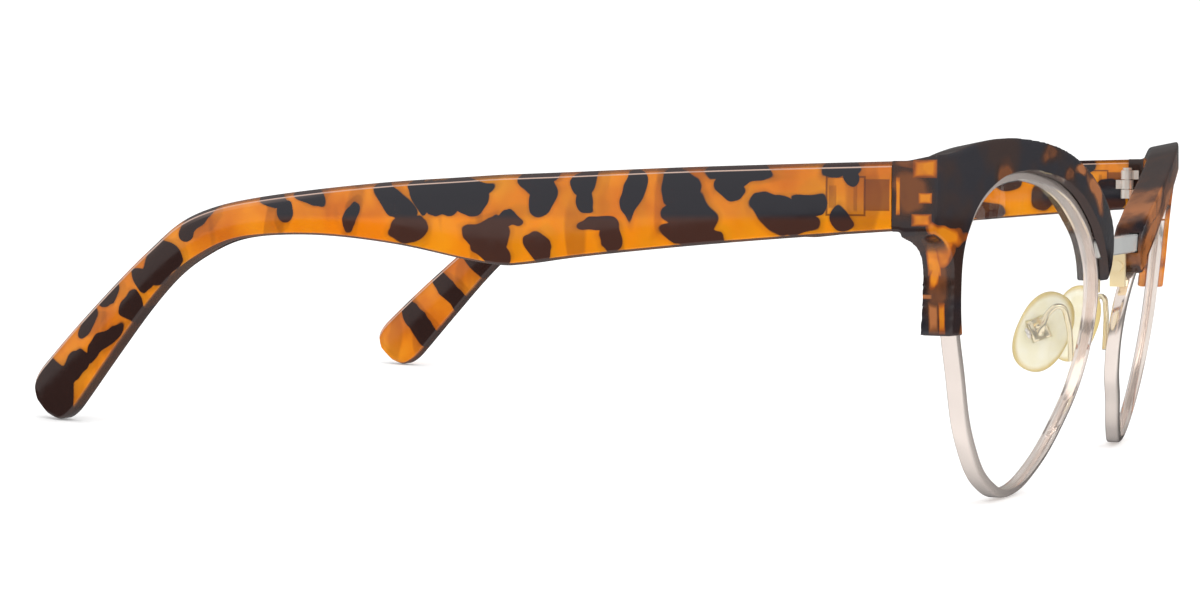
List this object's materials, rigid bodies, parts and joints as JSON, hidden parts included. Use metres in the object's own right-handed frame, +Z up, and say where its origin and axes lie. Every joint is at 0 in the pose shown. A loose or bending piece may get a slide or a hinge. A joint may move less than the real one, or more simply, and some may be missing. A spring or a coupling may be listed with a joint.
{
  "type": "half rim eyeglasses",
  "caption": "Half rim browline eyeglasses: acetate brows and folding temples on thin metal rims, with a flat metal bridge and rocking nose pads.",
  "frame": {"origin": "on the floor under the middle of the bounding box, temples open", "axes": "+X to the wearer's left, +Y back along the temples from the lenses, +Z up"},
  "size_m": [0.1364, 0.1518, 0.0472],
  "materials": {
    "tortoiseshell_acetate": "polished",
    "champagne_metal": "satin plated",
    "silver_metal": "satin",
    "gold_metal": "bright plated",
    "screw_steel": "bright",
    "lens_clear": "clear",
    "pad_silicone": "translucent"
  },
  "bodies": {
    "front": {"bridge": "silver_metal", "brow_right": "tortoiseshell_acetate", "rim_right": "champagne_metal", "lens_right": "lens_clear", "pad_arm_right": "gold_metal", "brow_lug_right": "gold_metal", "brow_screw_right": "screw_steel", "hinge_front_right": "screw_steel", "hinge_screw_right": "screw_steel", "hinge_rivet_upper_right": "screw_steel", "hinge_rivet_lower_right": "screw_steel", "rim_block_upper_right": "champagne_metal", "rim_block_lower_right": "champagne_metal", "rim_screw_right": "screw_steel", "brow_left": "tortoiseshell_acetate", "rim_left": "champagne_metal", "lens_left": "lens_clear", "pad_arm_left": "gold_metal", "brow_lug_left": "gold_metal", "brow_screw_left": "screw_steel", "hinge_front_left": "screw_steel", "hinge_screw_left": "screw_steel", "hinge_rivet_upper_left": "screw_steel", "hinge_rivet_lower_left": "screw_steel", "rim_block_upper_left": "champagne_metal", "rim_block_lower_left": "champagne_metal", "rim_screw_left": "screw_steel"},
    "temple_right": {"temple_right": "tortoiseshell_acetate", "hinge_temple_right": "screw_steel"},
    "temple_left": {"temple_left": "tortoiseshell_acetate", "hinge_temple_left": "screw_steel"},
    "pad_right": {"nose_pad_right": "pad_silicone", "pad_insert_right": "gold_metal", "pad_screw_right": "screw_steel"},
    "pad_left": {"nose_pad_left": "pad_silicone", "pad_insert_left": "gold_metal", "pad_screw_left": "screw_steel"}
  },
  "joints": [
    {"name": "temple_fold_right", "type": "hinge", "parent": "front", "child": "temple_right", "pos_m": [-0.0629, -0.06138, 0.04011], "axis": [0, 0, -1], "range_deg": [0, 84]},
    {"name": "temple_fold_left", "type": "hinge", "parent": "front", "child": "temple_left", "pos_m": [0.0629, -0.06138, 0.04011], "axis": [0, 0, 1], "range_deg": [0, 69]},
    {"name": "pad_rock_right", "type": "hinge", "parent": "front", "child": "pad_right", "pos_m": [-0.0113, -0.06518, 0.0206], "axis": [-0.2825, 0.8878, -0.3632], "range_deg": [-8, 8]},
    {"name": "pad_rock_left", "type": "hinge", "parent": "front", "child": "pad_left", "pos_m": [0.0113, -0.06518, 0.0206], "axis": [0.2825, 0.8878, -0.3632], "range_deg": [-8, 8]}
  ]
}
